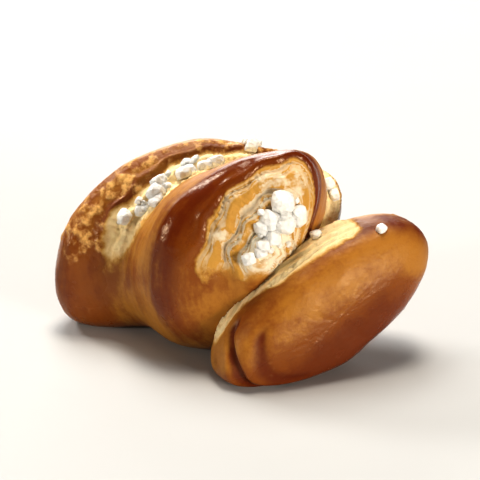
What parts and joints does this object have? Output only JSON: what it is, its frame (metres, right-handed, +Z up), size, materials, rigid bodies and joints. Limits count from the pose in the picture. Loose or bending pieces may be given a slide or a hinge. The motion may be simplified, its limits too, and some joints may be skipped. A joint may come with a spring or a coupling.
{
  "type": "pretzel bite",
  "caption": "Small twisted bite of layered lye dough, baked brown, with pale open layers in its grooves, a pressed-out flap at one end and coarse salt fused on top.",
  "frame": {"origin": "on the surface it rests on, under the middle of its box", "axes": "+X along its longest side, towards the flap; -Y is the front that shows both grooves; +Z up"},
  "size_m": [0.0642, 0.0432, 0.037],
  "materials": {
    "crust": "glossy brown baked lye crust, pale and matt in the open layers",
    "salt": "white, slightly clear coarse salt"
  },
  "bodies": {
    "root": {"pretzel_bite": "crust"}
  },
  "joints": []
}
